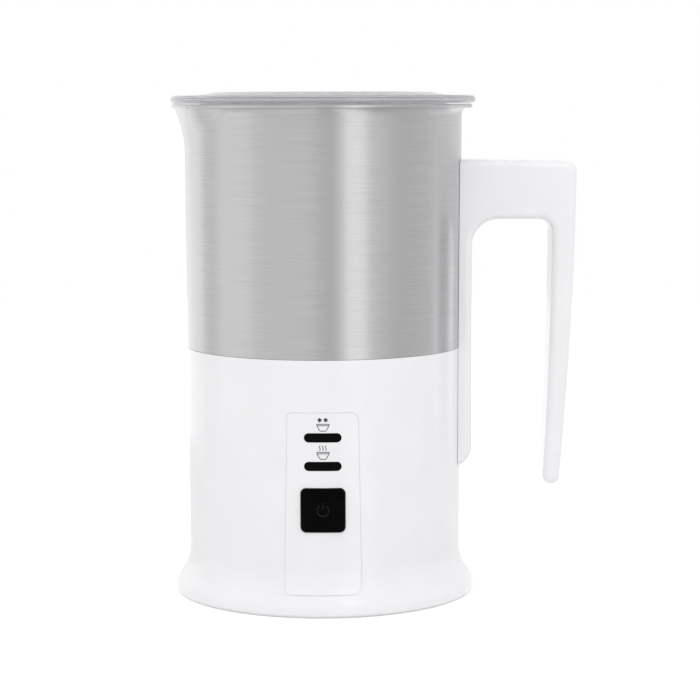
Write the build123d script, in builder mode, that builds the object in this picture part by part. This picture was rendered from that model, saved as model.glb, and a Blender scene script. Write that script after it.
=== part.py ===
from build123d import *
import os
from math import asin, atan2, cos, degrees, radians, sin, tan

# Milk frother jug: a steel and plastic double wall around a heated non-stick pot,
# with a motor-driven whisk, a clear lid, a hook handle and a tapered control panel.
# Millimetres, +Z up. The origin lies on the jug's axis, in the plane that it stands on.
# The spout points towards -X, the handle towards +X and the control panel towards -Y.

# ---------------------------------------------------------------- driving dimensions

# outer wall, from the foot up
foot_radius = 57.66
waist_radius = 51.9
seam_radius = 52.15
wall_radius = 52.55
foot_edge_z = 0.3
foot_swell_z = 3.3
flare_top_z = 11.9
seam_z = 93.9
taper_top_z = 160.0
rim_top = 186.0
foot_edge_round = 1.2
foot_swell_round = 6.3
swell_flat = 0.6
flare_round = 16.0
housing_wall = 2.5
seam_gap = 0.15

# steel sheet, rolled rim and spout
sheet = 0.8
flare_radius = 3.35
bead_radius = 0.75
spout_shift = 7.5
spout_start = 166.6
spout_reach = 4.1
spout_bead_reach = 4.2
spout_sink = 0.03

# pot
pot_radius = 48.5
pot_wall = 1.0
pot_floor_z = 96.0
pot_corner = 8.0
pot_shoulder_angle = 18.0
pot_shoulder_round = 8.0
pot_lip_gap = 0.1
pot_lip_z = 185.4
pot_spout_start = 160.0
pot_spout_reach = 6.9

# lid
lid_gap = 0.3
lid_radius = 57.9
lid_edge = 3.0
lid_plate = 2.6
lid_raise_radius = 47.4
lid_crown_radius = 42.5
lid_crown_drop = 0.3
lid_height = 4.5
plug_radius = 47.2
plug_wall = 2.0
plug_depth = 10.3
groove_depth = 1.2
groove_low = 1.5
groove_width = 2.5
seal_radius = 48.8
seal_fin = 1.0

# housing inside
spigot_height = 6.0
spigot_clearance = 0.1
spigot_wall = 2.0
gasket_height = 2.5
gasket_clearance = 0.05
boss_radius = 4.2
boss_circle = 45.5
base_boss_top = 20.0
mount_boss_height = 16.0

# base
cover_bottom = 0.8
cover_plate = 2.5
foot_rim_wall = 3.36
foot_pad_radius = 5.0
foot_pad_edge = 10.0
foot_pad_sink = 0.6
base_screw_head = 3.0
base_screw_shank = 1.4
base_screw_length = 14.0
base_screw_angle = 30.0
screw_hole_play = 0.1
cover_clearance = 0.3
foot_angle = 90.0
foot_pad_round = 0.3

# round power socket
socket_bore = 15.5
socket_bore_depth = 9.0
socket_radius = 18.5
socket_height = 16.2
socket_flange_radius = 22.5
socket_flange = 2.0
socket_clearance = 0.15
contact_well = 5.2
contact_recess = 0.5
pin_radius = 1.5
pin_well_radius = 3.2
ring_contact_radius = 10.5
ring_contact_width = 1.0
ring_groove_width = 2.0
contact_tail = 4.0

# power board
power_board_z = 26.0
board_thick = 1.6
power_board_radius = 36.0
power_board_front = 30.0
post_angle = 90.0
post_radius = 3.0
post_circle = 31.0
board_screw_head = 2.6
board_screw_head_height = 1.4
board_screw_shank = 1.1
board_screw_length = 7.0
relay_x = -18.0
relay_y = 4.0
relay_length = 19.0
relay_width = 15.5
relay_height = 10.0
relay_round = 0.8
capacitor_x = 18.0
capacitor_y = 12.0
capacitor_radius = 5.0
capacitor_height = 10.0
terminal_x = 12.0
terminal_y = -16.0
terminal_length = 15.0
terminal_width = 8.0
terminal_height = 9.0
terminal_hole = 1.5
terminal_depth = 4.0

# motor and its mount
motor_bottom = 41.0
motor_height = 30.0
motor_radius = 13.85
motor_can_wall = 1.2
motor_endcap_plate = 2.0
motor_boss_radius = 5.0
motor_boss_height = 2.4
motor_shaft = 1.15
shaft_clearance = 0.05
shaft_above_motor = 10.5
armature_radius = 9.5
armature_height = 18.0
magnet_inner = 10.2
magnet_height = 22.0
magnet_gap = 4.0
armature_poles = 3
armature_slot_width = 2.4
armature_slot_depth = 5.0
mount_plate = 3.0
mount_disc_radius = 24.0
mount_arm_width = 9.0
mount_pad_radius = 3.5
mount_angle = 90.0
mount_play = 0.2
motor_screw_spacing = 16.0
motor_screw_head = 2.2
motor_screw_shank = 1.2
motor_screw_length = 5.2
mount_screw_length = 12.0
screw_head_height = 1.6

# spindle, coupling, bush and seal
spindle_radius = 2.0
spindle_top = 123.0
spindle_flat = 1.4
spindle_chamfer = 0.4
coupling_radius = 7.5
coupling_bottom = 76.0
coupling_height = 12.0
coupling_ribs = 6
coupling_notch = 2.0
bush_bottom = 89.0
bush_neck_radius = 5.0
bush_neck_height = 8.0
bush_thread_radius = 6.9
bush_flange_radius = 10.0
bush_flange = 1.5
bush_hole_clearance = 0.1
bush_nut_radius = 10.4
bush_nut_height = 4.0
seal_pocket_radius = 3.6
seal_pocket_depth = 3.0
shaft_seal_height = 2.8

# heater under the pot
spreader_inner = 12.5
spreader_outer = 40.0
spreader_plate = 2.5
element_circle = 33.0
element_size = 6.5
element_arc = 320.0
element_round = 1.5
element_end_turn = 4.0
element_pin_radius = 1.5
element_pin_length = 9.0
thermostat_radius = 7.0
thermostat_height = 7.0
thermostat_circle = 21.0
fuse_radius = 2.0
fuse_length = 11.0
probe_radius = 3.0
probe_height = 8.0

# whisk
whisk_lift = 0.7
whisk_skirt_radius = 8.0
whisk_skirt_height = 9.0
whisk_stem_radius = 4.4
whisk_knob_radius = 6.2
whisk_knob_height = 7.0
whisk_top = 138.0
whisk_knob_round = 2.0
whisk_rim_gap = 1.0
whisk_neck_clearance = 1.0
whisk_seat_gap = 0.2
whisk_bore_clearance = 0.06
coil_circle = 18.0
coil_radius = 2.3
whisk_rim_width = 2.4
whisk_rim_height = 2.6
whisk_arm_width = 2.4
whisk_arms = 4

# handle
handle_half_width = 11.0
handle_gap = 0.1
handle_round = 2.6
handle_top_left = 165.05
handle_top_right = 164.05
handle_outer_middle = 94.3
handle_top_lean = 1.4
handle_low_lean = 4.65
handle_middle_z = 108.0
handle_tip_z = 41.2
grip_top_thickness = 9.25
grip_middle_thickness = 8.65
grip_tip_thickness = 6.25
arch_z = 142.6
strip_outer = 56.3
strip_depth = 6.3
strip_sink = 2.55
strip_taper_z = 58.0
strip_bend_in = 1.0
strip_bend_z = 52.0
strip_tip_in = 4.8
strip_tip_z = 48.3
handle_corner_round = 3.4
handle_tip_round = 3.0
arch_corner_outer = 5.0
arch_corner_inner = 10.0
handle_screw_head = 3.0
handle_screw_head_height = 1.8
handle_screw_shank = 1.5
upper_screw_z = 152.0
lower_screw_z = 86.0
upper_screw_tip = 64.0
lower_screw_tip = 55.0
screw_seat_gap = 0.15

# control panel, button and lamps
panel_top = 74.8
panel_bottom = 8.2
panel_top_half = 12.9
panel_bottom_half = 14.1
panel_top_round = 3.0
panel_bottom_round = 1.5
panel_raise = 0.5
panel_depth = 1.6
panel_gap = 0.05
button_size = 16.0
button_round = 1.9
button_z = 39.1
button_gap = 0.25
button_stand = 0.7
button_face_round = 0.5
button_plate = 5.0
button_flange = 1.2
button_flange_lap = 1.1
button_stem = 2.5
lamp_length = 13.5
lamp_height = 3.25
cold_lamp_z = 65.8
warm_lamp_z = 55.3
lamp_gap = 0.1
lamp_back = 47.5
lamp_inset = 0.1

# control board
control_board_front = 42.5
control_board_half = 14.9
control_board_bottom = 22.0
control_board_top = 80.0
rail_inner = 14.1
rail_outer = 16.6
rail_play = 0.1
rail_overlap = 1.0
rail_foot = 2.0
switch_size = 6.0
switch_height = 3.5
plunger_radius = 1.7
plunger_stand = 0.6
plunger_depth = 0.8
plunger_clearance = 0.1
plunger_pocket = 1.5
led_radius = 2.5
led_height = 3.0

# ---------------------------------------------------------------- levels and planes

swell_turn = atan2(abs(foot_radius - waist_radius), flare_top_z - foot_swell_z)
swell_room = (foot_swell_z - foot_edge_z - swell_flat) / tan(swell_turn / 2) - panel_raise
swell_round = min(foot_swell_round, swell_room)
flare_z = rim_top - sheet - flare_radius
rim_radius = wall_radius + flare_radius
bead_z = rim_top - bead_radius
sleeve_bottom = seam_z + seam_gap
pot_bottom = pot_floor_z - pot_wall
overrun = 2.0
lid_bottom = rim_top + lid_gap
lid_top = lid_bottom + lid_height
plug_bottom = rim_top + lid_gap - plug_depth
spigot_top = seam_z + spigot_height
spigot_radius = seam_radius - sheet - spigot_clearance
cover_top = cover_bottom + cover_plate
cover_radius = foot_radius - foot_rim_wall - cover_clearance
foot_pad_circle = cover_radius - foot_pad_edge
motor_top = motor_bottom + motor_height
mount_top = motor_top + mount_plate
coupling_top = coupling_bottom + coupling_height
shaft_top = motor_top + shaft_above_motor
bush_top = pot_floor_z + bush_neck_height
spreader_bottom = pot_bottom - spreader_plate
whisk_bottom = pot_floor_z + bush_flange + whisk_lift
coil_z = whisk_bottom + coil_radius
button_face = waist_radius + panel_raise + button_stand
plunger_face = control_board_front + switch_height + plunger_stand
board_back = control_board_front - board_thick
board_middle_z = (control_board_bottom + control_board_top) / 2
rail_height = control_board_top - control_board_bottom + 2 * rail_foot
housing_inner = waist_radius - housing_wall
base_screw_top = cover_bottom + base_screw_length
bore_top = cover_bottom + socket_bore_depth
contact_low = bore_top + contact_recess
contact_top = cover_bottom + socket_height + contact_tail
ring_groove_outer = ring_contact_radius + ring_groove_width / 2
ring_groove_inner = ring_contact_radius - ring_groove_width / 2
power_board_top = power_board_z + board_thick
board_screw_bottom = power_board_top - board_screw_length
shaft_bore = motor_shaft + shaft_clearance
magnet_low = motor_bottom + (motor_height - motor_can_wall - magnet_height) / 2
armature_low = motor_bottom + (motor_height - motor_can_wall - armature_height) / 2
mount_screw_bottom = mount_top - mount_screw_length
element_bottom = spreader_bottom - element_size
element_pin_bottom = element_bottom - element_pin_length
skirt_top = whisk_bottom + whisk_skirt_height
neck_cavity_top = bush_top + whisk_neck_clearance
arm_low = coil_z - whisk_rim_height / 2
arm_high = coil_z + whisk_rim_height / 2
handle_root = min(wall_radius - strip_sink, strip_outer - strip_depth)
strip_bend = strip_outer - strip_bend_in
strip_tip = strip_outer - strip_tip_in
handle_outer_top = handle_outer_middle + handle_top_lean
handle_outer_low = handle_outer_middle - handle_low_lean
handle_inner_top = handle_outer_top - grip_top_thickness
handle_inner_middle = handle_outer_middle - grip_middle_thickness
handle_inner_low = handle_outer_low - grip_tip_thickness
handle_screw_ends = [(upper_screw_z, upper_screw_tip), (lower_screw_z, lower_screw_tip)]
handle_screw_seats = [
    wall_radius - sheet - screw_seat_gap,
    seam_radius - housing_wall - screw_seat_gap,
]

FRONT = Plane.XZ
spout_axis = Axis((-spout_shift, 0, 0), (0, 0, 1))
spout_plane = Plane(origin=(-spout_shift, 0, 0), x_dir=(-1, 0, 0), z_dir=(0, 1, 0))


# ---------------------------------------------------------------- shared forms

def ring(outer, inner, low, high, mode=Mode.ADD):
    """A ring about the jug's axis, or a disc where inner is 0."""
    with BuildSketch(Plane.XY.offset(low)) as profile:
        Circle(outer)
        if inner > 0:
            Circle(inner, mode=Mode.SUBTRACT)
    extrude(profile.sketch, amount=high - low, mode=mode)


def pegs(radius, low, high, circle, count, start_angle=0, mode=Mode.ADD):
    """Equal round pegs or holes on a circle about the jug's axis."""
    with BuildSketch(Plane.XY.offset(low)) as profile:
        with PolarLocations(circle, count, start_angle):
            Circle(radius)
    extrude(profile.sketch, amount=high - low, mode=mode)


def steel_form(inset, top, mode=Mode.ADD):
    """The steel wall's round solid with its flared rim, drawn in from the outside by inset."""
    with BuildSketch(FRONT) as profile:
        with BuildLine():
            flare = CenterArc((rim_radius, flare_z), flare_radius + inset, 180, -90)
            Polyline(
                flare @ 0,
                (wall_radius - inset, taper_top_z),
                (seam_radius - inset, sleeve_bottom),
                (0, sleeve_bottom),
                (0, top),
                (rim_radius, top),
                flare @ 1,
            )
        make_face()
    revolve(profile.sketch, axis=Axis.Z, mode=mode)


def spout_form(radius, start, reach, inset, top, mode=Mode.ADD):
    """A round solid about an axis nearer the spout, which swells past a wall of that radius."""
    swell = bead_z - start
    curve = (swell**2 + reach**2) / (2 * reach)
    turn = degrees(asin(swell / (curve + inset)))
    foot = radius - spout_sink - spout_shift
    with BuildSketch(spout_plane) as profile:
        with BuildLine():
            lip = CenterArc((foot + curve, start), curve + inset, 180, -turn)
            Polyline(lip @ 1, ((lip @ 1).X, top), (0, top), (0, start), lip @ 0)
        make_face()
    revolve(profile.sketch, axis=spout_axis, mode=mode)


def pot_form(inset, mode=Mode.ADD):
    """The pot's round solid up to its lip, drawn in from the outside by inset."""
    lip_radius = flare_radius + sheet + pot_lip_gap + inset
    turn = degrees(asin((pot_lip_z - flare_z) / lip_radius)) - pot_shoulder_angle
    tilt = radians(pot_shoulder_angle)
    shoulder_z = flare_z + lip_radius * sin(tilt)
    shoulder_z -= (rim_radius - lip_radius * cos(tilt) - pot_radius + inset) / tan(tilt)
    with BuildSketch(FRONT) as profile:
        with BuildLine():
            lip = CenterArc((rim_radius, flare_z), lip_radius, 180 - pot_shoulder_angle, -turn)
            FilletPolyline(
                (0, pot_bottom + inset),
                (pot_radius - inset, pot_bottom + inset),
                (pot_radius - inset, shoulder_z),
                lip @ 0,
                radius=[pot_corner - inset, pot_shoulder_round + inset],
            )
            Polyline(lip @ 1, (0, pot_lip_z), (0, pot_bottom + inset))
        make_face()
    revolve(profile.sketch, axis=Axis.Z, mode=mode)


def housing_form(inset, mode=Mode.ADD):
    """The white wall's round solid from its foot to the seam, drawn in by inset."""
    with BuildSketch(FRONT) as profile:
        with BuildLine():
            wall = FilletPolyline(
                (foot_radius - inset, foot_edge_z),
                (foot_radius - inset, foot_swell_z),
                (waist_radius - inset, flare_top_z),
                (seam_radius - inset, seam_z),
                radius=[swell_round - inset, flare_round + inset],
            )
            Polyline(wall @ 1, (0, seam_z), (0, foot_edge_z), wall @ 0)
        make_face()
    revolve(profile.sketch, axis=Axis.Z, mode=mode)


def panel_outline(grow):
    """The tapered outline of the control panel in front view, grown all round."""
    with BuildLine() as outline:
        FilletPolyline(
            (-panel_bottom_half - grow, panel_bottom - grow),
            (panel_bottom_half + grow, panel_bottom - grow),
            (panel_top_half + grow, panel_top + grow),
            (-panel_top_half - grow, panel_top + grow),
            radius=[panel_bottom_round, panel_top_round, panel_top_round, panel_bottom_round],
            close=True,
        )
    make_face(outline.line)


def lamp_outlines(grow):
    """The two lamp windows in front view."""
    with Locations((0, cold_lamp_z), (0, warm_lamp_z)):
        SlotOverall(lamp_length + 2 * grow, lamp_height + 2 * grow)


def button_outline(grow):
    """The square push button in front view."""
    with Locations((0, button_z)):
        RectangleRounded(button_size + 2 * grow, button_size + 2 * grow, button_round + grow)


def round_corner(x, z, radius):
    """Round the corner of the current front-view sketch that lies nearest to a point."""
    fillet(vertices().sort_by_distance((x, z, 0))[0], radius=radius)


# ---------------------------------------------------------------- lid

with BuildPart() as lid:
    with BuildSketch(FRONT):
        with BuildLine():
            edge = CenterArc(
                (lid_radius - lid_edge / 2, lid_bottom + lid_edge / 2), lid_edge / 2, 90, -180
            )
            Polyline(
                edge @ 0,
                (lid_raise_radius, lid_bottom + lid_edge),
                (lid_crown_radius, lid_top - lid_crown_drop),
                (0, lid_top),
                (0, lid_top - lid_plate),
                (plug_radius - plug_wall, lid_top - lid_plate),
                (plug_radius - plug_wall, plug_bottom),
                (plug_radius, plug_bottom),
                (plug_radius, lid_bottom),
                edge @ 1,
            )
        make_face()
    revolve(axis=Axis.Z)
    ring(
        plug_radius + overrun,
        plug_radius - groove_depth,
        plug_bottom + groove_low,
        plug_bottom + groove_low + groove_width,
        mode=Mode.SUBTRACT,
    )

with BuildPart() as lid_seal:
    seal_low = plug_bottom + groove_low
    fin_low = seal_low + (groove_width - seal_fin) / 2
    ring(plug_radius, plug_radius - groove_depth, seal_low, seal_low + groove_width)
    ring(seal_radius, plug_radius - groove_depth, fin_low, fin_low + seal_fin)

# ---------------------------------------------------------------- steel wall and pot

with BuildPart() as jug_sleeve:
    steel_form(0, rim_top)
    spout_form(wall_radius, spout_start, spout_reach, 0, rim_top)
    with BuildSketch(FRONT):
        with Locations((rim_radius, bead_z)):
            Circle(bead_radius)
    revolve(axis=Axis.Z)
    with BuildSketch(spout_plane):
        with Locations((wall_radius + spout_bead_reach - spout_shift, bead_z)):
            Circle(bead_radius)
    revolve(axis=spout_axis)
    steel_form(sheet, rim_top + overrun, mode=Mode.SUBTRACT)
    spout_form(wall_radius, spout_start, spout_reach, sheet, rim_top + overrun, mode=Mode.SUBTRACT)
    with BuildSketch(Plane.YZ):
        with Locations((0, upper_screw_z)):
            Circle(handle_screw_shank)
    extrude(amount=foot_radius, mode=Mode.SUBTRACT)

with BuildPart() as inner_pot:
    pot_form(0)
    spout_form(pot_radius, pot_spout_start, pot_spout_reach, 0, pot_lip_z)
    pot_form(pot_wall, mode=Mode.SUBTRACT)
    spout_form(pot_radius, pot_spout_start, pot_spout_reach, pot_wall, pot_lip_z, mode=Mode.SUBTRACT)
    ring(bush_thread_radius + bush_hole_clearance, 0, pot_bottom, pot_floor_z, mode=Mode.SUBTRACT)

with BuildPart() as pot_gasket:
    ring(
        spigot_radius,
        pot_radius + gasket_clearance,
        spigot_top,
        spigot_top + gasket_height,
    )

# ---------------------------------------------------------------- white housing

with BuildPart() as panel_recess:
    with BuildSketch(FRONT.offset(housing_inner - overrun)):
        panel_outline(panel_gap)
    extrude(amount=foot_radius)
    housing_form(panel_depth, mode=Mode.SUBTRACT)

with BuildPart() as lower_housing:
    housing_form(0)
    fillet(lower_housing.edges().group_by(Axis.Z)[0], radius=foot_edge_round)
    housing_form(housing_wall, mode=Mode.SUBTRACT)
    ring(cover_radius + cover_clearance, 0, foot_edge_z, cover_top, mode=Mode.SUBTRACT)
    ring(spigot_radius, spigot_radius - spigot_wall, seam_z - spigot_height / 2, spigot_top)
    pegs(boss_radius, cover_top, base_boss_top, boss_circle, 3, base_screw_angle)
    pegs(boss_radius, motor_top - mount_boss_height, motor_top, boss_circle, 3, mount_angle)
    with BuildSketch(FRONT.offset(board_back - rail_overlap)):
        for side in (-1, 1):
            with Locations((side * (rail_inner + rail_outer) / 2, board_middle_z)):
                Rectangle(rail_outer - rail_inner, rail_height)
    extrude(amount=housing_inner - board_back)
    with BuildSketch(FRONT.offset(board_back - rail_play)):
        with Locations((0, board_middle_z)):
            Rectangle(2 * (control_board_half + rail_play), control_board_top - control_board_bottom)
    extrude(amount=board_thick + 2 * rail_play, mode=Mode.SUBTRACT)
    pegs(base_screw_shank, cover_top, base_screw_top, boss_circle, 3, base_screw_angle, Mode.SUBTRACT)
    pegs(motor_screw_shank, mount_screw_bottom, motor_top, boss_circle, 3, mount_angle, Mode.SUBTRACT)
    add(panel_recess.part, mode=Mode.SUBTRACT)
    with BuildSketch(FRONT.offset(housing_inner - overrun)):
        button_outline(button_gap)
        lamp_outlines(lamp_gap)
    extrude(amount=foot_radius, mode=Mode.SUBTRACT)
    with BuildSketch(Plane.YZ):
        with Locations((0, lower_screw_z)):
            Circle(handle_screw_shank)
    extrude(amount=foot_radius, mode=Mode.SUBTRACT)

# ---------------------------------------------------------------- control panel

with BuildPart() as control_panel:
    with BuildSketch(FRONT.offset(housing_inner - overrun)):
        panel_outline(0)
    extrude(amount=foot_radius)
    housing_form(-panel_raise, mode=Mode.INTERSECT)
    housing_form(panel_depth, mode=Mode.SUBTRACT)
    with BuildSketch(FRONT.offset(housing_inner - overrun)):
        button_outline(button_gap)
        lamp_outlines(lamp_gap)
    extrude(amount=foot_radius, mode=Mode.SUBTRACT)

with BuildPart() as lamp_lenses:
    with BuildSketch(FRONT.offset(lamp_back)):
        lamp_outlines(0)
    extrude(amount=foot_radius - lamp_back)
    housing_form(lamp_inset - panel_raise, mode=Mode.INTERSECT)

with BuildPart() as power_button:
    with BuildSketch(FRONT.offset(button_face - button_plate)):
        button_outline(0)
    extrude(amount=button_plate)
    fillet(power_button.faces().sort_by(Axis.Y)[0].edges(), radius=button_face_round)
    with BuildSketch(FRONT.offset(button_face - button_plate)):
        button_outline(button_flange_lap)
    extrude(amount=-button_flange)
    with BuildSketch(FRONT.offset(plunger_face)):
        with Locations((0, button_z)):
            Circle(button_stem)
    extrude(amount=button_face - button_plate - button_flange - plunger_face)

# ---------------------------------------------------------------- control board

with BuildPart() as control_board:
    with BuildSketch(FRONT.offset(board_back)):
        with Locations((0, board_middle_z)):
            Rectangle(2 * control_board_half, control_board_top - control_board_bottom)
    extrude(amount=board_thick)

with BuildPart() as tact_switch:
    with BuildSketch(FRONT.offset(control_board_front)):
        with Locations((0, button_z)):
            Rectangle(switch_size, switch_size)
    extrude(amount=switch_height)
    with BuildSketch(FRONT.offset(control_board_front + switch_height)):
        with Locations((0, button_z)):
            Circle(plunger_radius + plunger_clearance)
    extrude(amount=-plunger_pocket, mode=Mode.SUBTRACT)

with BuildPart() as tact_plunger:
    with BuildSketch(FRONT.offset(plunger_face)):
        with Locations((0, button_z)):
            Circle(plunger_radius)
    extrude(amount=-plunger_stand - plunger_depth)

with BuildPart() as lamp_leds:
    with BuildSketch(FRONT.offset(control_board_front)):
        with Locations((0, cold_lamp_z), (0, warm_lamp_z)):
            Circle(led_radius)
    extrude(amount=led_height)

# ---------------------------------------------------------------- base cover and feet

with BuildPart() as base_cover:
    ring(cover_radius, socket_radius + socket_clearance, cover_bottom, cover_top)
    pegs(post_radius, cover_top, power_board_z, post_circle, 3, post_angle)
    pegs(board_screw_shank, board_screw_bottom, power_board_z, post_circle, 3, post_angle, Mode.SUBTRACT)
    pegs(
        foot_pad_radius,
        cover_bottom,
        cover_bottom + foot_pad_sink,
        foot_pad_circle,
        3,
        foot_angle,
        Mode.SUBTRACT,
    )
    with Locations(Plane.XY.offset(cover_bottom)):
        with PolarLocations(boss_circle, 3, base_screw_angle):
            with Locations(Rotation(180, 0, 0)):
                CounterSinkHole(
                    radius=base_screw_shank + screw_hole_play,
                    counter_sink_radius=base_screw_head,
                    depth=cover_plate,
                )

with BuildPart() as base_feet:
    pegs(foot_pad_radius, 0, cover_bottom + foot_pad_sink, foot_pad_circle, 3, foot_angle)
    fillet(base_feet.faces().group_by(Axis.Z)[0].edges(), radius=foot_pad_round)

with BuildPart() as base_screws:
    head_depth = base_screw_head - base_screw_shank
    pegs(base_screw_shank, cover_bottom, base_screw_top, boss_circle, 3, base_screw_angle)
    with Locations(Plane.XY.offset(cover_bottom + head_depth / 2)):
        with PolarLocations(boss_circle, 3, base_screw_angle):
            Cone(base_screw_head, base_screw_shank, head_depth)

# ---------------------------------------------------------------- power socket

with BuildPart() as power_socket:
    ring(socket_radius, 0, cover_bottom, cover_bottom + socket_height)
    ring(socket_flange_radius, 0, cover_top, cover_top + socket_flange)
    ring(socket_bore, 0, cover_bottom, bore_top, mode=Mode.SUBTRACT)
    ring(pin_well_radius, 0, bore_top, bore_top + contact_well, mode=Mode.SUBTRACT)
    ring(ring_groove_outer, ring_groove_inner, bore_top, bore_top + contact_well, mode=Mode.SUBTRACT)
    ring(pin_radius, 0, bore_top, cover_bottom + socket_height, mode=Mode.SUBTRACT)
    pegs(pin_radius, bore_top, cover_bottom + socket_height, ring_contact_radius, 1, 0, Mode.SUBTRACT)

with BuildPart() as socket_contacts:
    ring(pin_radius, 0, contact_low, contact_top)
    ring(
        ring_contact_radius + ring_contact_width / 2,
        ring_contact_radius - ring_contact_width / 2,
        contact_low,
        bore_top + contact_well,
    )
    pegs(pin_radius, bore_top + contact_well, contact_top, ring_contact_radius, 1)

# ---------------------------------------------------------------- power board

with BuildPart() as power_board:
    with BuildSketch(Plane.XY.offset(power_board_z)):
        Circle(power_board_radius)
        with Locations((0, -power_board_front)):
            Rectangle(
                2 * power_board_radius,
                power_board_radius,
                align=(Align.CENTER, Align.MAX),
                mode=Mode.SUBTRACT,
            )
    extrude(amount=board_thick)
    pegs(board_screw_shank, power_board_z, power_board_top, post_circle, 3, post_angle, Mode.SUBTRACT)

with BuildPart() as board_screws:
    pegs(board_screw_shank, board_screw_bottom, power_board_top, post_circle, 3, post_angle)
    pegs(
        board_screw_head,
        power_board_top,
        power_board_top + board_screw_head_height,
        post_circle,
        3,
        post_angle,
    )

with BuildPart() as relay:
    with Locations((relay_x, relay_y, power_board_top)):
        Box(relay_length, relay_width, relay_height, align=(Align.CENTER, Align.CENTER, Align.MIN))
    fillet(relay.edges().filter_by(Axis.Z), radius=relay_round)

with BuildPart() as capacitor:
    with Locations((capacitor_x, capacitor_y, power_board_top)):
        Cylinder(capacitor_radius, capacitor_height, align=(Align.CENTER, Align.CENTER, Align.MIN))
    fillet(capacitor.faces().sort_by(Axis.Z)[-1].edges(), radius=relay_round)

with BuildPart() as terminal_block:
    with Locations((terminal_x, terminal_y, power_board_top)):
        Box(terminal_length, terminal_width, terminal_height, align=(Align.CENTER, Align.CENTER, Align.MIN))
        with Locations((0, 0, terminal_height)):
            with GridLocations(terminal_length / 3, 0, 3, 1):
                Cylinder(
                    terminal_hole,
                    terminal_depth,
                    align=(Align.CENTER, Align.CENTER, Align.MAX),
                    mode=Mode.SUBTRACT,
                )

# ---------------------------------------------------------------- motor

with BuildPart() as motor_can:
    ring(motor_radius, 0, motor_bottom, motor_top)
    ring(motor_boss_radius, 0, motor_top, motor_top + motor_boss_height)
    ring(motor_radius - motor_can_wall, 0, motor_bottom, motor_top - motor_can_wall, mode=Mode.SUBTRACT)
    ring(shaft_bore, 0, motor_top - motor_can_wall, motor_top + motor_boss_height, mode=Mode.SUBTRACT)
    pegs(
        motor_screw_shank,
        motor_top - motor_can_wall,
        motor_top,
        motor_screw_spacing / 2,
        2,
        0,
        Mode.SUBTRACT,
    )

with BuildPart() as motor_endcap:
    ring(motor_radius, shaft_bore, motor_bottom - motor_endcap_plate, motor_bottom)

with BuildPart() as motor_magnets:
    ring(motor_radius - motor_can_wall, magnet_inner, magnet_low, magnet_low + magnet_height)
    with BuildSketch(Plane.XY.offset(magnet_low)):
        Rectangle(2 * magnet_gap, 2 * motor_radius)
    extrude(amount=magnet_height, mode=Mode.SUBTRACT)

with BuildPart() as motor_rotor:
    ring(motor_shaft, 0, motor_bottom - motor_endcap_plate, shaft_top)
    ring(armature_radius, 0, armature_low, armature_low + armature_height)
    with BuildSketch(Plane.XY.offset(armature_low)):
        with PolarLocations(armature_radius, armature_poles):
            Rectangle(armature_slot_depth * 2, armature_slot_width)
    extrude(amount=armature_height, mode=Mode.SUBTRACT)

with BuildPart() as motor_mount:
    ring(mount_disc_radius, 0, motor_top, mount_top)
    pegs(mount_pad_radius, motor_top, mount_top, boss_circle, 3, mount_angle)
    with BuildSketch(Plane.XY.offset(motor_top)):
        with PolarLocations(boss_circle / 2, 3, mount_angle):
            Rectangle(boss_circle, mount_arm_width)
    extrude(amount=mount_plate)
    ring(motor_boss_radius + mount_play, 0, motor_top, mount_top, mode=Mode.SUBTRACT)
    pegs(motor_screw_shank, motor_top, mount_top, motor_screw_spacing / 2, 2, 0, Mode.SUBTRACT)
    pegs(motor_screw_shank, motor_top, mount_top, boss_circle, 3, mount_angle, Mode.SUBTRACT)

with BuildPart() as motor_screws:
    pegs(motor_screw_shank, mount_top - motor_screw_length, mount_top, motor_screw_spacing / 2, 2)
    pegs(motor_screw_head, mount_top, mount_top + screw_head_height, motor_screw_spacing / 2, 2)

with BuildPart() as mount_screws:
    pegs(motor_screw_shank, mount_screw_bottom, mount_top, boss_circle, 3, mount_angle)
    pegs(motor_screw_head, mount_top, mount_top + screw_head_height, boss_circle, 3, mount_angle)

# ---------------------------------------------------------------- spindle and its bush

with BuildPart() as drive_coupling:
    ring(coupling_radius, 0, coupling_bottom, coupling_top)
    ring(motor_shaft, 0, coupling_bottom, shaft_top, mode=Mode.SUBTRACT)
    ring(spindle_radius, 0, shaft_top, coupling_top, mode=Mode.SUBTRACT)
    with BuildSketch(Plane.XY.offset(coupling_bottom)):
        with PolarLocations(coupling_radius, coupling_ribs):
            Rectangle(coupling_notch, coupling_notch)
    extrude(amount=coupling_height, mode=Mode.SUBTRACT)

with BuildPart() as drive_spindle:
    ring(spindle_radius, 0, shaft_top, spindle_top)
    with BuildSketch(Plane.XY.offset(bush_top)):
        with Locations((spindle_flat, 0)):
            Rectangle(spindle_radius, 2 * spindle_radius, align=(Align.MIN, Align.CENTER))
    extrude(amount=spindle_top - bush_top, mode=Mode.SUBTRACT)
    chamfer(drive_spindle.faces().sort_by(Axis.Z)[-1].edges(), length=spindle_chamfer)

with BuildPart() as shaft_bush:
    ring(bush_thread_radius, 0, bush_bottom, pot_floor_z)
    ring(bush_flange_radius, 0, pot_floor_z, pot_floor_z + bush_flange)
    ring(bush_neck_radius, 0, pot_floor_z, bush_top)
    ring(spindle_radius + shaft_clearance, 0, bush_bottom, bush_top, mode=Mode.SUBTRACT)
    ring(seal_pocket_radius, 0, bush_top - seal_pocket_depth, bush_top, mode=Mode.SUBTRACT)

with BuildPart() as bush_nut:
    with BuildSketch(Plane.XY.offset(pot_bottom - bush_nut_height)):
        RegularPolygon(radius=bush_nut_radius, side_count=6)
        Circle(bush_thread_radius, mode=Mode.SUBTRACT)
    extrude(amount=bush_nut_height)

with BuildPart() as shaft_seal:
    ring(
        seal_pocket_radius,
        spindle_radius + shaft_clearance,
        bush_top - seal_pocket_depth,
        bush_top - seal_pocket_depth + shaft_seal_height,
    )

# ---------------------------------------------------------------- heater

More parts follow.
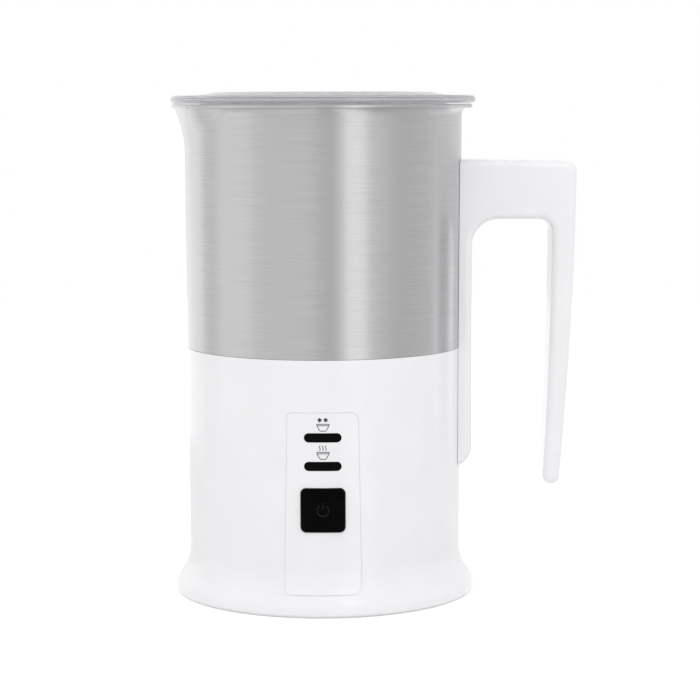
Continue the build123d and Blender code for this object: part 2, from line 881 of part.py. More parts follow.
with BuildPart() as heat_spreader:
    ring(spreader_outer, spreader_inner, spreader_bottom, pot_bottom)

with BuildPart() as heating_element:
    with BuildSketch(FRONT):
        with Locations((element_circle, spreader_bottom - element_size / 2)):
            RectangleRounded(element_size, element_size, element_round)
    revolve(axis=Axis.Z, revolution_arc=element_arc)
    for angle in (element_end_turn, element_arc - element_end_turn):
        pegs(element_pin_radius, element_pin_bottom, element_bottom, element_circle, 1, angle)

with BuildPart() as thermostat:
    pegs(thermostat_radius, spreader_bottom - thermostat_height, spreader_bottom, thermostat_circle, 1, 180)

with BuildPart() as thermal_fuse:
    with BuildSketch(Plane.XZ.offset(-fuse_length / 2)):
        with Locations((thermostat_circle, spreader_bottom - fuse_radius)):
            Circle(fuse_radius)
    extrude(amount=fuse_length)

with BuildPart() as temperature_probe:
    pegs(probe_radius, spreader_bottom - probe_height, spreader_bottom, thermostat_circle, 1, 90)

# ---------------------------------------------------------------- whisk

with BuildPart() as whisk_hub:
    ring(whisk_skirt_radius, 0, whisk_bottom, skirt_top)
    ring(whisk_stem_radius, 0, whisk_bottom, whisk_top)
    ring(whisk_knob_radius, 0, whisk_top - whisk_knob_height, whisk_top)
    fillet(whisk_hub.faces().sort_by(Axis.Z)[-1].edges(), radius=whisk_knob_round)
    ring(coil_circle - whisk_rim_gap, coil_circle - whisk_rim_gap - whisk_rim_width, arm_low, arm_high)
    with BuildSketch(Plane.XY.offset(arm_low)):
        with PolarLocations(coil_circle / 2, whisk_arms):
            Rectangle(coil_circle - whisk_rim_width, whisk_arm_width)
    extrude(amount=whisk_rim_height)
    with BuildSketch(FRONT):
        with Locations((coil_circle, coil_z)):
            Circle(coil_radius)
    revolve(axis=Axis.Z, mode=Mode.SUBTRACT)
    ring(bush_neck_radius + whisk_neck_clearance, 0, whisk_bottom, neck_cavity_top, mode=Mode.SUBTRACT)
    with BuildSketch(Plane.XY.offset(neck_cavity_top)):
        Circle(spindle_radius + whisk_bore_clearance)
        with Locations((spindle_flat + whisk_bore_clearance, 0)):
            Rectangle(spindle_radius, 4 * spindle_radius, align=(Align.MIN, Align.CENTER), mode=Mode.SUBTRACT)
    extrude(amount=spindle_top + whisk_seat_gap - neck_cavity_top, mode=Mode.SUBTRACT)

with BuildPart() as whisk_coil:
    with BuildSketch(FRONT):
        with Locations((coil_circle, coil_z)):
            Circle(coil_radius)
    revolve(axis=Axis.Z)

# ---------------------------------------------------------------- handle

with BuildPart() as handle:
    with BuildSketch(FRONT):
        with BuildLine():
            Line((handle_root, handle_top_left), (handle_outer_top, handle_top_right))
            ThreePointArc(
                (handle_outer_top, handle_top_right),
                (handle_outer_middle, handle_middle_z),
                (handle_outer_low, handle_tip_z),
            )
            Line((handle_outer_low, handle_tip_z), (handle_inner_low, handle_tip_z))
            ThreePointArc(
                (handle_inner_low, handle_tip_z),
                (handle_inner_middle, (handle_tip_z + arch_z) / 2),
                (handle_inner_top, arch_z),
            )
            Polyline((handle_inner_top, arch_z), (strip_outer, arch_z), (strip_outer, strip_taper_z))
            ThreePointArc(
                (strip_outer, strip_taper_z), (strip_bend, strip_bend_z), (strip_tip, strip_tip_z)
            )
            Polyline((strip_tip, strip_tip_z), (handle_root, strip_tip_z), (handle_root, handle_top_left))
        make_face()
        round_corner(handle_outer_top, handle_top_right, handle_corner_round)
        round_corner(handle_outer_low, handle_tip_z, handle_tip_round)
        round_corner(handle_inner_low, handle_tip_z, handle_tip_round)
        round_corner(handle_inner_top, arch_z, arch_corner_outer)
        round_corner(strip_outer, arch_z, arch_corner_inner)
    extrude(amount=handle_half_width, both=True)
    sides = handle.faces().filter_by(Axis.Y)
    rims = sides.edges().filter_by(lambda edge: (edge @ 0.5).X > strip_tip)
    fillet(rims, radius=handle_round)
    with BuildSketch(FRONT):
        with BuildLine():
            Polyline(
                (0, flare_top_z),
                (waist_radius + handle_gap, flare_top_z),
                (seam_radius + handle_gap, seam_z),
                (wall_radius + handle_gap, taper_top_z),
                (wall_radius + handle_gap, rim_top),
                (0, rim_top),
                close=True,
            )
        make_face()
    revolve(axis=Axis.Z, mode=Mode.SUBTRACT)
    for height, tip in handle_screw_ends:
        with BuildSketch(Plane.YZ):
            with Locations((0, height)):
                Circle(handle_screw_shank)
        extrude(amount=tip, mode=Mode.SUBTRACT)

with BuildPart() as handle_screws:
    for (height, tip), seat in zip(handle_screw_ends, handle_screw_seats):
        with BuildSketch(Plane.YZ.offset(seat)):
            with Locations((0, height)):
                Circle(handle_screw_head)
        extrude(amount=-handle_screw_head_height)
        with BuildSketch(Plane.YZ.offset(seat)):
            with Locations((0, height)):
                Circle(handle_screw_shank)
        extrude(amount=tip - seat)

# ---------------------------------------------------------------- hand over

pieces = {
    "lid": lid,
    "lid_seal": lid_seal,
    "jug_sleeve": jug_sleeve,
    "inner_pot": inner_pot,
    "pot_gasket": pot_gasket,
    "lower_housing": lower_housing,
    "control_panel": control_panel,
    "lamp_lenses": lamp_lenses,
    "power_button": power_button,
    "control_board": control_board,
    "tact_switch": tact_switch,
    "tact_plunger": tact_plunger,
    "lamp_leds": lamp_leds,
    "base_cover": base_cover,
    "base_feet": base_feet,
    "base_screws": base_screws,
    "power_socket": power_socket,
    "socket_contacts": socket_contacts,
    "power_board": power_board,
    "board_screws": board_screws,
    "relay": relay,
    "capacitor": capacitor,
    "terminal_block": terminal_block,
    "motor_can": motor_can,
    "motor_endcap": motor_endcap,
    "motor_magnets": motor_magnets,
    "motor_rotor": motor_rotor,
    "motor_mount": motor_mount,
    "motor_screws": motor_screws,
    "mount_screws": mount_screws,
    "drive_coupling": drive_coupling,
    "drive_spindle": drive_spindle,
    "shaft_bush": shaft_bush,
    "bush_nut": bush_nut,
    "shaft_seal": shaft_seal,
    "heat_spreader": heat_spreader,
    "heating_element": heating_element,
    "thermostat": thermostat,
    "thermal_fuse": thermal_fuse,
    "temperature_probe": temperature_probe,
    "whisk_hub": whisk_hub,
    "whisk_coil": whisk_coil,
    "handle": handle,
    "handle_screws": handle_screws,
}
for label, piece in pieces.items():
    piece.part.label = label
    export_step(piece.part, f"parts/{label}.step")
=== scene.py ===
from math import cos, pi, radians, sin, tan

import bmesh
import bpy
from mathutils import Matrix, Vector
from mathutils.bvhtree import BVHTree


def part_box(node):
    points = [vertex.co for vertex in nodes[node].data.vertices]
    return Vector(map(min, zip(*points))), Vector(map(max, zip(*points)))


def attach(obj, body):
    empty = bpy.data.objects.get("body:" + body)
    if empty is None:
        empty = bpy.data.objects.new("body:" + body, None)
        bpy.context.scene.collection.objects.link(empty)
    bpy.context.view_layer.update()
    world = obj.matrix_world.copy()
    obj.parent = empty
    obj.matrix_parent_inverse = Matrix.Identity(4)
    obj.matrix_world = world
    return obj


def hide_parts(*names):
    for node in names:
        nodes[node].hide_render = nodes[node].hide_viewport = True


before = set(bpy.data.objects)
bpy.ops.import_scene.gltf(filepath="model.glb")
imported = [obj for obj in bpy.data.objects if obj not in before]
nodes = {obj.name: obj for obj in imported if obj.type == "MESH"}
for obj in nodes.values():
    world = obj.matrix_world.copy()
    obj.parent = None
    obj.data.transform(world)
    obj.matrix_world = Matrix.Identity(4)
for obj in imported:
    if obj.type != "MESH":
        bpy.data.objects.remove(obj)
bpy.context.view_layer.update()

# A milk frother jug: brushed steel over a white moulded housing, under a clear lid.
# The frame is in metres, so sizes written in millimetres are times mm.

mm = 0.001
wall_radius = 52.5

# Nearly all of what a noise texture gives lies between these two.
noise_low, noise_high = 0.3, 0.7


# ---------------------------------------------------------------- nodes and colours


def linear(colour):
    """An sRGB hex colour as the linear RGBA that shaders take."""
    parts = [int(colour[i:i + 2], 16) / 255 for i in (1, 3, 5)]
    return [c / 12.92 if c <= 0.04045 else ((c + 0.055) / 1.055) ** 2.4 for c in parts] + [1.0]


def add(tree, kind, inputs=None, **settings):
    """Adds a node with its settings. inputs gives each socket a value or another node's output."""
    node = tree.nodes.new("ShaderNode" + kind)
    for name, value in settings.items():
        setattr(node, name, value)
    for socket, value in (inputs or {}).items():
        if isinstance(value, bpy.types.NodeSocket):
            tree.links.new(value, node.inputs[socket])
        else:
            node.inputs[socket].default_value = value
    return node


def finish(name, colour, sockets):
    """A new material with one shader, and the values that are the same all over its surface."""
    made = bpy.data.materials.new(name)
    made.use_nodes = True
    tree = made.node_tree
    shader = tree.nodes["Principled BSDF"]
    shader.inputs["Base Color"].default_value = linear(colour)
    for socket, value in sockets.items():
        shader.inputs[socket].default_value = value
    return made, tree, shader


def waver(tree, shader, pitch, depth, rough, spread, tint=None):
    """Uneven surface of a made thing: its height wavers by depth over pitch, in millimetres.

    Its roughness wavers round rough by spread, and its colour between the two of tint.
    """
    place = add(tree, "TexCoord")
    noise = add(tree, "TexNoise", {
        "Vector": place.outputs["Object"], "Scale": 1 / (pitch * mm), "Detail": 4.0,
    })
    bump = add(tree, "Bump", {"Height": noise.outputs["Fac"], "Distance": depth * mm})
    tree.links.new(bump.outputs["Normal"], shader.inputs["Normal"])
    gloss = add(tree, "MapRange", {
        "Value": noise.outputs["Fac"], "From Min": noise_low, "From Max": noise_high,
        "To Min": rough - spread, "To Max": rough + spread,
    })
    tree.links.new(gloss.outputs["Result"], shader.inputs["Roughness"])
    if tint:
        ramp = add(tree, "ValToRGB", {"Fac": noise.outputs["Fac"]})
        ramp.color_ramp.elements[0].position = 0.35
        ramp.color_ramp.elements[0].color = linear(tint[0])
        ramp.color_ramp.elements[1].position = 0.65
        ramp.color_ramp.elements[1].color = linear(tint[1])
        tree.links.new(ramp.outputs["Color"], shader.inputs["Base Color"])


# ---------------------------------------------------------------- finishes

# Stainless steel sheet, brushed round the jug. The brush leaves level lines, drawn here a few
# times as wide as the real ones so that they show, and because each line is a groove, light
# smears up and down across them into tall soft bands.
brush_line = 0.26
brush_length = 22.0
brush_depth = 0.006
steel, tree, shader = finish("brushed_stainless_steel", "#c4c4c5", {
    "Metallic": 1.0, "Anisotropic": 0.85, "Anisotropic Rotation": 0.25,
})
place = add(tree, "TexCoord")
split = add(tree, "SeparateXYZ", {"Vector": place.outputs["Object"]})
behind = add(tree, "Math", {0: split.outputs["X"], 1: -1.0}, operation="MULTIPLY")
turn = add(tree, "Math", {0: split.outputs["Y"], 1: behind.outputs["Value"]}, operation="ARCTAN2")
around = add(tree, "Math", {
    0: turn.outputs["Value"], 1: wall_radius / brush_length,
}, operation="MULTIPLY")
up = add(tree, "Math", {0: split.outputs["Z"], 1: 1 / (brush_line * mm)}, operation="MULTIPLY")
lines = add(tree, "CombineXYZ", {"X": around.outputs["Value"], "Y": up.outputs["Value"]})
streaks = add(tree, "TexNoise", {
    "Vector": lines.outputs["Vector"], "Scale": 1.0, "Detail": 5.0, "Roughness": 0.65,
})
tone = add(tree, "ValToRGB", {"Fac": streaks.outputs["Fac"]})
tone.color_ramp.elements[0].position = 0.28
tone.color_ramp.elements[0].color = linear("#bababb")
tone.color_ramp.elements[1].position = 0.72
tone.color_ramp.elements[1].color = linear("#cececf")
tree.links.new(tone.outputs["Color"], shader.inputs["Base Color"])
rough = add(tree, "MapRange", {
    "Value": streaks.outputs["Fac"], "From Min": noise_low, "From Max": noise_high,
    "To Min": 0.28, "To Max": 0.34,
})
tree.links.new(rough.outputs["Result"], shader.inputs["Roughness"])
# The press draws the spout out of the round wall with no crease, so light turns gently there.
spout_back, spout_front = -18.0, -32.0
spout_foot, spout_lip, spout_fade = 158.0, 182.5, 5.0
spout_round = 6.0
blend = add(tree, "Bevel", {"Radius": spout_round * mm}, samples=12)
across = add(tree, "MapRange", {
    "Value": split.outputs["X"], "From Min": spout_back * mm, "From Max": spout_front * mm,
})
above = add(tree, "Math", {0: split.outputs["Z"], 1: spout_foot * mm}, operation="GREATER_THAN")
below = add(tree, "MapRange", {
    "Value": split.outputs["Z"], "From Min": spout_lip * mm,
    "From Max": (spout_lip - spout_fade) * mm,
})
level = add(tree, "Math", {
    0: above.outputs["Value"], 1: below.outputs["Result"],
}, operation="MULTIPLY")
drawn = add(tree, "Math", {
    0: across.outputs["Result"], 1: level.outputs["Value"],
}, operation="MULTIPLY")
facing = add(tree, "NewGeometry")
pressed = add(tree, "Mix", {
    0: drawn.outputs["Value"], 4: facing.outputs["Normal"], 5: blend.outputs["Normal"],
}, data_type="VECTOR")
relief = add(tree, "Bump", {
    "Height": streaks.outputs["Fac"], "Distance": brush_depth * mm, "Normal": pressed.outputs[1],
})
tree.links.new(relief.outputs["Normal"], shader.inputs["Normal"])
grooves = add(tree, "Tangent", direction_type="RADIAL", axis="Z")
tree.links.new(grooves.outputs["Tangent"], shader.inputs["Tangent"])

# ABS, injection moulded in a polished tool: bright white with a clear gloss and a faint ripple.
white_abs, tree, shader = finish("glossy_white_abs", "#f5f5f7", {"IOR": 1.54})
waver(tree, shader, 14.0, 0.003, 0.2, 0.02, ("#f4f4f6", "#f6f6f8"))

# SAN, injection moulded clear: it bends light at its rim, and its thickness scatters a little,
# which gives the edges a cloudy lilac cast.
clear_san, tree, shader = finish("clear_moulded_san", "#fbfaff", {
    "IOR": 1.57, "Transmission Weight": 0.74,
})
waver(tree, shader, 9.0, 0.0005, 0.04, 0.02)

# Silicone, press moulded: translucent milky rubber with a soft, dull surface.
silicone, tree, shader = finish("moulded_silicone", "#e4e5e6", {
    "IOR": 1.41, "Subsurface Weight": 0.15, "Subsurface Radius": (0.002, 0.002, 0.002),
})
waver(tree, shader, 1.2, 0.006, 0.5, 0.05, ("#dfe0e1", "#e8e9ea"))

# PTFE coating, sprayed and baked on the pot: near-black, satin, with fine bright flakes.
flake = 0.5
non_stick, tree, shader = finish("baked_ptfe_coating", "#2c2d30", {"IOR": 1.38})
waver(tree, shader, 0.8, 0.008, 0.36, 0.06)
place = add(tree, "TexCoord")
cells = add(tree, "TexVoronoi", {
    "Vector": place.outputs["Object"], "Scale": 1 / (flake * mm),
})
flakes = add(tree, "SeparateColor", {"Color": cells.outputs["Color"]})
shine = add(tree, "ValToRGB", {"Fac": flakes.outputs["Red"]})
shine.color_ramp.elements[0].position = 0.80
shine.color_ramp.elements[0].color = linear("#2a2b2e")
shine.color_ramp.elements[1].position = 0.98
shine.color_ramp.elements[1].color = linear("#6a6b70")
tree.links.new(shine.outputs["Color"], shader.inputs["Base Color"])

# ABS, moulded black and polished like a piano's lid: deep black under a mirror-like coat.
piano_black, tree, shader = finish("piano_black_abs", "#101113", {
    "IOR": 1.54, "Specular IOR Level": 0.03,
})
waver(tree, shader, 5.0, 0.002, 0.08, 0.02, ("#050506", "#070708"))

# Polycarbonate, moulded with a smoke tint: black until the lamp behind it lights.
smoked_lens, tree, shader = finish("smoked_polycarbonate", "#1b1c20", {
    "IOR": 1.585, "Specular IOR Level": 0.04,
})
waver(tree, shader, 3.0, 0.002, 0.08, 0.02, ("#060607", "#09090a"))

# PBT, moulded black: a matt, slightly grained engineering plastic.
black_pbt, tree, shader = finish("moulded_black_pbt", "#1b1c1e", {"IOR": 1.55})
waver(tree, shader, 0.6, 0.012, 0.46, 0.06, ("#18191b", "#202123"))

# POM, moulded white: waxy and slippery, a little softer in gloss than the housing.
white_pom, tree, shader = finish("moulded_white_pom", "#ecebe6", {"IOR": 1.48})
waver(tree, shader, 1.5, 0.006, 0.34, 0.05, ("#e9e8e3", "#f0efeb"))

# Rubber, moulded grey: the feet's dull grip.
grey_rubber, tree, shader = finish("moulded_grey_rubber", "#b9babb", {"IOR": 1.52})
waver(tree, shader, 0.5, 0.02, 0.68, 0.06, ("#b2b3b4", "#c0c1c2"))

# Steel, zinc plated: pale blue-grey with a light mottle.
zinc_steel, tree, shader = finish("zinc_plated_steel", "#b9bec4", {"Metallic": 1.0})
waver(tree, shader, 0.9, 0.004, 0.34, 0.07, ("#afb5bc", "#c4c8cc"))

# Stainless steel wire, drawn: bright and smooth, with fine die lines.
drawn_wire, tree, shader = finish("drawn_stainless_wire", "#cfd0d1", {"Metallic": 1.0})
waver(tree, shader, 0.4, 0.003, 0.2, 0.05, ("#c8c9ca", "#d6d6d7"))

# Brass, turned: warm yellow with a light tool mark.
turned_brass, tree, shader = finish("turned_brass", "#d3a94f", {"Metallic": 1.0})
waver(tree, shader, 0.6, 0.004, 0.28, 0.06, ("#caa047", "#dcb45c"))

# Aluminium, die cast: grey-white with a fine sandy skin.
cast_aluminium, tree, shader = finish("die_cast_aluminium", "#c2c3c5", {"Metallic": 1.0})
waver(tree, shader, 0.7, 0.015, 0.46, 0.07, ("#b6b7b9", "#cdced0"))

# Ferrite, sintered: charcoal ceramic, rough and even.
ferrite, tree, shader = finish("sintered_ferrite", "#3a3b3d", {"IOR": 1.9})
waver(tree, shader, 0.4, 0.015, 0.62, 0.06, ("#343537", "#424345"))

# Glass-epoxy board under a green solder mask: glossy, with the weave just showing through.
board, tree, shader = finish("solder_masked_board", "#1d5a3a", {"IOR": 1.55})
waver(tree, shader, 0.8, 0.008, 0.3, 0.06, ("#194f33", "#236844"))

# Nylon, moulded green, for the terminal block.
green_nylon, tree, shader = finish("moulded_green_nylon", "#2f8a4a", {"IOR": 1.53})
waver(tree, shader, 0.7, 0.010, 0.42, 0.05, ("#2a8043", "#359551"))

# Glazed ceramic tube for the fuse: smooth and off-white.
glazed_ceramic, tree, shader = finish("glazed_ceramic", "#e7dfcc", {"IOR": 1.6})
waver(tree, shader, 1.0, 0.004, 0.2, 0.04, ("#e1d8c4", "#ece5d5"))

# Epoxy, cast round the lamp's chip: a milky clear lens.
lamp_epoxy, tree, shader = finish("cast_lamp_epoxy", "#e8edf0", {
    "IOR": 1.52, "Transmission Weight": 0.6,
})
waver(tree, shader, 1.0, 0.003, 0.16, 0.04)

# Ink, screen printed on the panel: flat mid grey with slightly soft edges.
grey_ink, tree, shader = finish("screen_printed_grey_ink", "#38393b", {"IOR": 1.5})
waver(tree, shader, 0.3, 0.003, 0.5, 0.05, ("#323335", "#3e3f41"))

# Ink, laser marked in the black button: only a shade lighter than the button.
dark_ink, tree, shader = finish("laser_marked_black", "#101113", {
    "IOR": 1.5, "Specular IOR Level": 0.2,
})
waver(tree, shader, 0.3, 0.003, 0.4, 0.05, ("#0b0c0d", "#0f1011"))

worn_by = {
    "jug_sleeve": steel,
    "lower_housing": white_abs, "handle": white_abs, "base_cover": white_abs,
    "control_panel": white_abs,
    "lid": clear_san, "lid_seal": silicone, "pot_gasket": silicone, "shaft_seal": silicone,
    "inner_pot": non_stick,
    "power_button": piano_black, "lamp_lenses": smoked_lens, "lamp_leds": lamp_epoxy,
    "base_feet": grey_rubber,
    "power_socket": black_pbt, "relay": black_pbt, "capacitor": black_pbt,
    "motor_endcap": black_pbt, "tact_switch": black_pbt, "tact_plunger": black_pbt,
    "thermostat": black_pbt, "drive_coupling": white_pom, "whisk_hub": white_pom,
    "socket_contacts": turned_brass, "shaft_bush": turned_brass, "bush_nut": turned_brass,
    "temperature_probe": turned_brass,
    "power_board": board, "control_board": board, "terminal_block": green_nylon,
    "base_screws": zinc_steel, "board_screws": zinc_steel, "motor_screws": zinc_steel,
    "mount_screws": zinc_steel, "handle_screws": zinc_steel, "motor_can": zinc_steel,
    "motor_mount": zinc_steel, "motor_rotor": zinc_steel, "drive_spindle": drawn_wire,
    "whisk_coil": drawn_wire, "motor_magnets": ferrite,
    "heat_spreader": cast_aluminium, "heating_element": cast_aluminium,
    "thermal_fuse": glazed_ceramic,
}
for name, wear in worn_by.items():
    for slot in nodes[name].material_slots:
        slot.material = wear


# ---------------------------------------------------------------- printed signs


def arc(x, z, wide, high, start, end, steps=20):
    """Points along part of an ellipse, in millimetres and degrees."""
    turns = [radians(start + (end - start) * i / steps) for i in range(steps + 1)]
    return [(x + wide * cos(t), z + high * sin(t)) for t in turns]


def bowl(z):
    """A cup seen from the side: a flat rim over a tapered body, about 4.6 mm wide."""
    left = [(-2.2, z + 2.7), (-2.05, z + 2.1), (-1.2, z + 0.5), (-0.75, z + 0.15)]
    right = [(0.2 - x, height) for x, height in reversed(left)]
    return [left + right + [left[0]], [(-1.95, z + 2.15), (2.15, z + 2.15)]]


def snowflake(x, z, size):
    """Three crossed strokes."""
    strokes = []
    for turn in (90, 30, 150):
        dx, dz = size * cos(radians(turn)), size * sin(radians(turn))
        strokes.append([(x - dx, z - dz), (x + dx, z + dz)])
    return strokes


def wisp(x, z, high):
    """One curl of steam."""
    steps, sway, lean = 12, 0.2, 0.3
    return [
        (x + sway * sin(2 * pi * i / steps) + lean * i / steps, z + high * i / steps)
        for i in range(steps + 1)
    ]


def printed(name, on, body, lines, width, ink):
    """Strokes of ink on the front of a node, which follow its curve. Sizes are in millimetres."""
    surface = BVHTree.FromObject(nodes[on], bpy.context.evaluated_depsgraph_get())
    ink_height = 0.02 * mm
    in_front, longest = -90.0, 0.3
    mesh = bmesh.new()
    for line in lines:
        path = []
        for (ax, az), (bx, bz) in zip(line, line[1:]):
            pieces = max(1, round(max(abs(bx - ax), abs(bz - az)) / longest))
            dx, dz = (bx - ax) / pieces, (bz - az) / pieces
            path += [(ax + dx * i, az + dz * i) for i in range(pieces)]
        path.append(line[-1])
        rows = []
        for i, (x, z) in enumerate(path):
            before, after = path[max(i - 1, 0)], path[min(i + 1, len(path) - 1)]
            along = Vector((after[0] - before[0], after[1] - before[1])).normalized()
            row = []
            for side in (-0.5, 0.5):
                out = width * side
                at = Vector((x - along.y * out, in_front, z + along.x * out)) * mm
                hit = surface.ray_cast(at, Vector((0, 1, 0)))[0]
                row.append(mesh.verts.new(hit - Vector((0, ink_height, 0))))
            rows.append(row)
        for (a, b), (c, d) in zip(rows, rows[1:]):
            mesh.faces.new((a, c, d, b))
    bmesh.ops.recalc_face_normals(mesh, faces=mesh.faces)
    made = bpy.data.meshes.new(name)
    mesh.to_mesh(made)
    mesh.free()
    piece = bpy.data.objects.new(name, made)
    bpy.context.scene.collection.objects.link(piece)
    piece.data.materials.append(ink)
    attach(piece, body)


stroke, flake_stroke, power_stroke = 0.28, 0.46, 0.4
printed("cold_sign", "control_panel", "jug", bowl(68.1), stroke, grey_ink)
flake_sign = snowflake(-1.1, 72.3, 0.8) + snowflake(1.07, 72.3, 0.8)
printed("flake_sign", "control_panel", "jug", flake_sign, flake_stroke, grey_ink)
warm_sign = bowl(57.8) + [wisp(x, 61.1, 1.9) for x in (-1.2, -0.12, 0.96)]
printed("warm_sign", "control_panel", "jug", warm_sign, stroke, grey_ink)
power_sign = [arc(0.0, 39.1, 2.1, 2.1, 125, 415, 36), [(0.0, 39.6), (0.0, 42.0)]]
printed("power_sign", "power_button", "button", power_sign, power_stroke, dark_ink)


# ---------------------------------------------------------------- whisk coil

# The whisk's spring: wire wound in close turns round a ring, which fills the ring's section.
ring_radius, wire_radius = 18.0, 0.36
coil_turns, points_per_turn = 60, 12
low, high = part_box("whisk_coil")
middle_z = (low.z + high.z) / 2 / mm
wind_radius = (high.z - low.z) / 2 / mm - wire_radius
steps = coil_turns * points_per_turn
winding = bpy.data.curves.new("whisk_spring", "CURVE")
winding.dimensions = "3D"
winding.bevel_depth = wire_radius * mm
winding.bevel_resolution = 2
path = winding.splines.new("POLY")
path.points.add(steps - 1)
path.use_cyclic_u = True
for i in range(steps):
    turn, wind = 2 * pi * i / steps, 2 * pi * i * coil_turns / steps
    out = ring_radius + wind_radius * cos(wind)
    spot = Vector((out * cos(turn), out * sin(turn), middle_z + wind_radius * sin(wind))) * mm
    path.points[i].co = (*spot, 1.0)
spring = bpy.data.objects.new("whisk_spring", winding)
bpy.context.scene.collection.objects.link(spring)
spring.data.materials.append(drawn_wire)
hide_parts("whisk_coil")
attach(spring, "whisk")


# ---------------------------------------------------------------- studio

# The background is white for the camera and in what metal and glass show, while the light that
# falls on the jug is the softer studio_light. floor_lift brings the floor up to that white for
# the same rays, and gives the jug no light.
studio_light = 0.88
floor_lift = 0.40


def white_rays(tree):
    """1 on rays that see the background: from the camera, off gloss or through clear plastic."""
    rays = add(tree, "LightPath")
    shown = add(tree, "Math", {
        0: rays.outputs["Is Camera Ray"], 1: rays.outputs["Is Glossy Ray"],
    }, operation="MAXIMUM")
    return add(tree, "Math", {
        0: shown.outputs["Value"], 1: rays.outputs["Is Transmission Ray"],
    }, operation="MAXIMUM").outputs["Value"]


# Pale floor, lit by the same lamps as the jug, so that the jug's shadow stays on it. It lies just
# under the feet, and its radius is in metres.
floor_radius, floor_drop = 1.3, 0.02
floor_mesh = bpy.data.meshes.new("studio_floor")
floor = bmesh.new()
bmesh.ops.create_circle(floor, cap_ends=True, segments=96, radius=floor_radius)
floor.to_mesh(floor_mesh)
floor.free()
studio_floor = bpy.data.objects.new("studio_floor", floor_mesh)
bpy.context.scene.collection.objects.link(studio_floor)
studio_floor.location.z = -floor_drop * mm
floor_paint, tree, shader = finish("pale_floor_paint", "#f0f0f0", {
    "Roughness": 0.9, "Specular IOR Level": 0.0, "Emission Color": (1, 1, 1, 1),
})
glow = add(tree, "Math", {0: white_rays(tree), 1: floor_lift}, operation="MULTIPLY")
tree.links.new(glow.outputs["Value"], shader.inputs["Emission Strength"])
floor_mesh.materials.append(floor_paint)

world = bpy.data.worlds.new("studio")
bpy.context.scene.world = world
world.use_nodes = True
tree = world.node_tree
tree.nodes.clear()
bright = add(tree, "MapRange", {"Value": white_rays(tree), "To Min": studio_light, "To Max": 1.0})
sky = add(tree, "Background", {"Color": (1, 1, 1, 1), "Strength": bright.outputs["Result"]})
add(tree, "OutputWorld", {"Surface": sky.outputs["Background"]})


def soft_lamp(name, place, aim, wide, high, bright):
    """A soft box at place, in metres, turned towards aim. bright is how bright its face is."""
    lamp = bpy.data.lights.new(name, "AREA")
    lamp.shape = "RECTANGLE"
    lamp.size = wide
    lamp.size_y = high
    lamp.energy = 4 * wide * high * bright
    holder = bpy.data.objects.new(name, lamp)
    holder.location = place
    holder.rotation_euler = (Vector(aim) - Vector(place)).to_track_quat("-Z", "Y").to_euler()
    bpy.context.scene.collection.objects.link(holder)


def tall_lamp(name, start, end, bright):
    """A standing soft box, between two directions in degrees from the front to the handle."""
    away, high = 1.0, 1.2
    middle, half = radians((start + end) / 2), radians((end - start) / 2)
    place = (away * sin(middle), -away * cos(middle), high / 2)
    soft_lamp(name, place, (0.0, 0.0, high / 2), 2 * away * tan(half), high, bright)


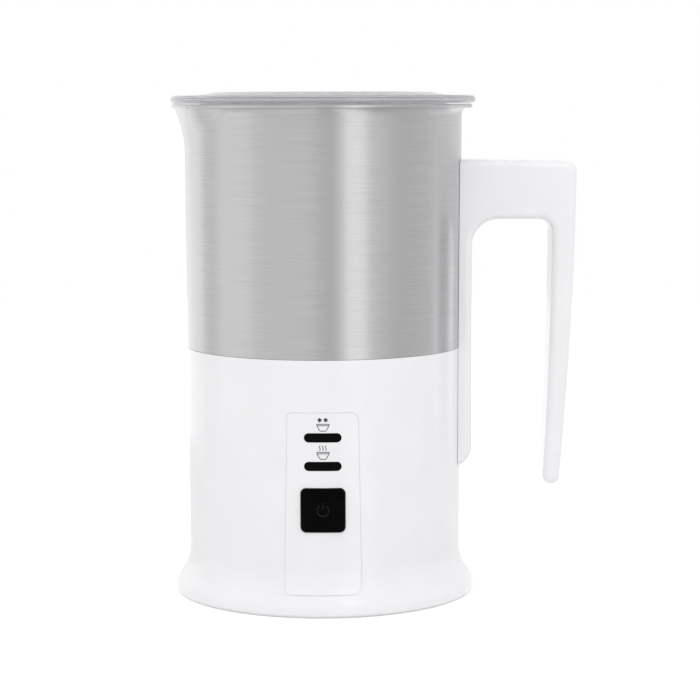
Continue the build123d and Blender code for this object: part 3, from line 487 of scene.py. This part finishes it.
def card(name, foot, top, shades):
    """A grey card, curved round the jug, that only gloss shows.

    foot and top are how far from the jug's axis, and how high, its lower and upper edges are, in
    metres. shades gives how bright it is at a few directions, and it fades from each to the next.
    """
    segment = 3.0
    marks = []
    for (start, first), (end, last) in zip(shades, shades[1:]):
        steps = max(1, round((end - start) / segment))
        turn_step, bright_step = (end - start) / steps, (last - first) / steps
        marks += [(start + turn_step * i, first + bright_step * i) for i in range(steps)]
    marks.append(shades[-1])
    mesh = bmesh.new()
    glow = mesh.verts.layers.float.new("glow")
    posts = []
    for direction, bright in marks:
        turn = radians(direction)
        post = [mesh.verts.new((r * sin(turn), -r * cos(turn), z)) for r, z in (foot, top)]
        for corner in post:
            corner[glow] = bright
        posts.append(post)
    for (low_a, high_a), (low_b, high_b) in zip(posts, posts[1:]):
        mesh.faces.new((low_a, low_b, high_b, high_a))
    made = bpy.data.meshes.new(name)
    mesh.to_mesh(made)
    mesh.free()
    paper, tree, shader = finish(name + "_paper", "#000000", {
        "Roughness": 1.0, "Specular IOR Level": 0.0, "Emission Color": (1, 1, 1, 1),
    })
    shade = add(tree, "Attribute", attribute_name="glow")
    tree.links.new(shade.outputs["Fac"], shader.inputs["Emission Strength"])
    made.materials.append(paper)
    sheet = bpy.data.objects.new(name, made)
    bpy.context.scene.collection.objects.link(sheet)
    sheet.visible_camera = False
    sheet.visible_diffuse = False
    sheet.visible_transmission = False
    sheet.visible_shadow = False


# The steel mirrors each standing soft box as a bright band, and the grey cards as darker ones.
overhead_place, jug_middle, overhead_side = (0.0, -0.7, 1.35), (0.0, 0.0, 0.1), 1.2
soft_lamp("overhead_lamp", overhead_place, jug_middle, overhead_side, overhead_side, 0.55)
tall_lamp("left_back_lamp", -160, -116, 0.12)
tall_lamp("right_front_lamp", 15, 35, 0.23)
card_away = 0.4
card_foot, card_top = (card_away, 0.0), (card_away, 1.2)
raised_foot = (card_away, 0.12)
table_edge = (0.08, 0.001)
card("left_back_card", card_foot, card_top, [(-114, 1.0), (-109, 0.88), (-97, 0.88), (-91, 1.0)])
card("left_card", card_foot, card_top, [
    (-60, 1.0), (-46, 0.88), (-12, 0.88), (1, 0.75), (8, 0.67), (17, 1.0),
])
card("right_card", card_foot, card_top, [
    (34, 1.0), (42, 0.90), (50, 0.87), (60, 0.73), (76, 0.75), (100, 0.82),
])
card("right_back_card", raised_foot, card_top, [(100, 0.82), (120, 0.88), (165, 0.88)])
card("left_table_card", table_edge, card_foot, [
    (-170, 0.90), (-10, 0.90), (2, 0.62), (8, 0.56), (17, 1.0),
])
card("right_table_card", table_edge, card_foot, [
    (36, 1.0), (44, 0.66), (92, 0.70), (112, 0.95), (160, 0.95),
])

camera_place, look_down, roll = (0.00997, -0.84412, 0.18637), 6.382, -0.151
camera = bpy.data.cameras.new("camera")
camera.lens = 113.57
camera.sensor_width = 36.0
shot = bpy.data.objects.new("camera", camera)
shot.matrix_world = (
    Matrix.Translation(camera_place)
    @ Matrix.Rotation(radians(90 - look_down), 4, "X")
    @ Matrix.Rotation(radians(roll), 4, "Z")
)
bpy.context.scene.collection.objects.link(shot)
bpy.context.scene.camera = shot
bpy.context.scene.view_settings.view_transform = "Standard"
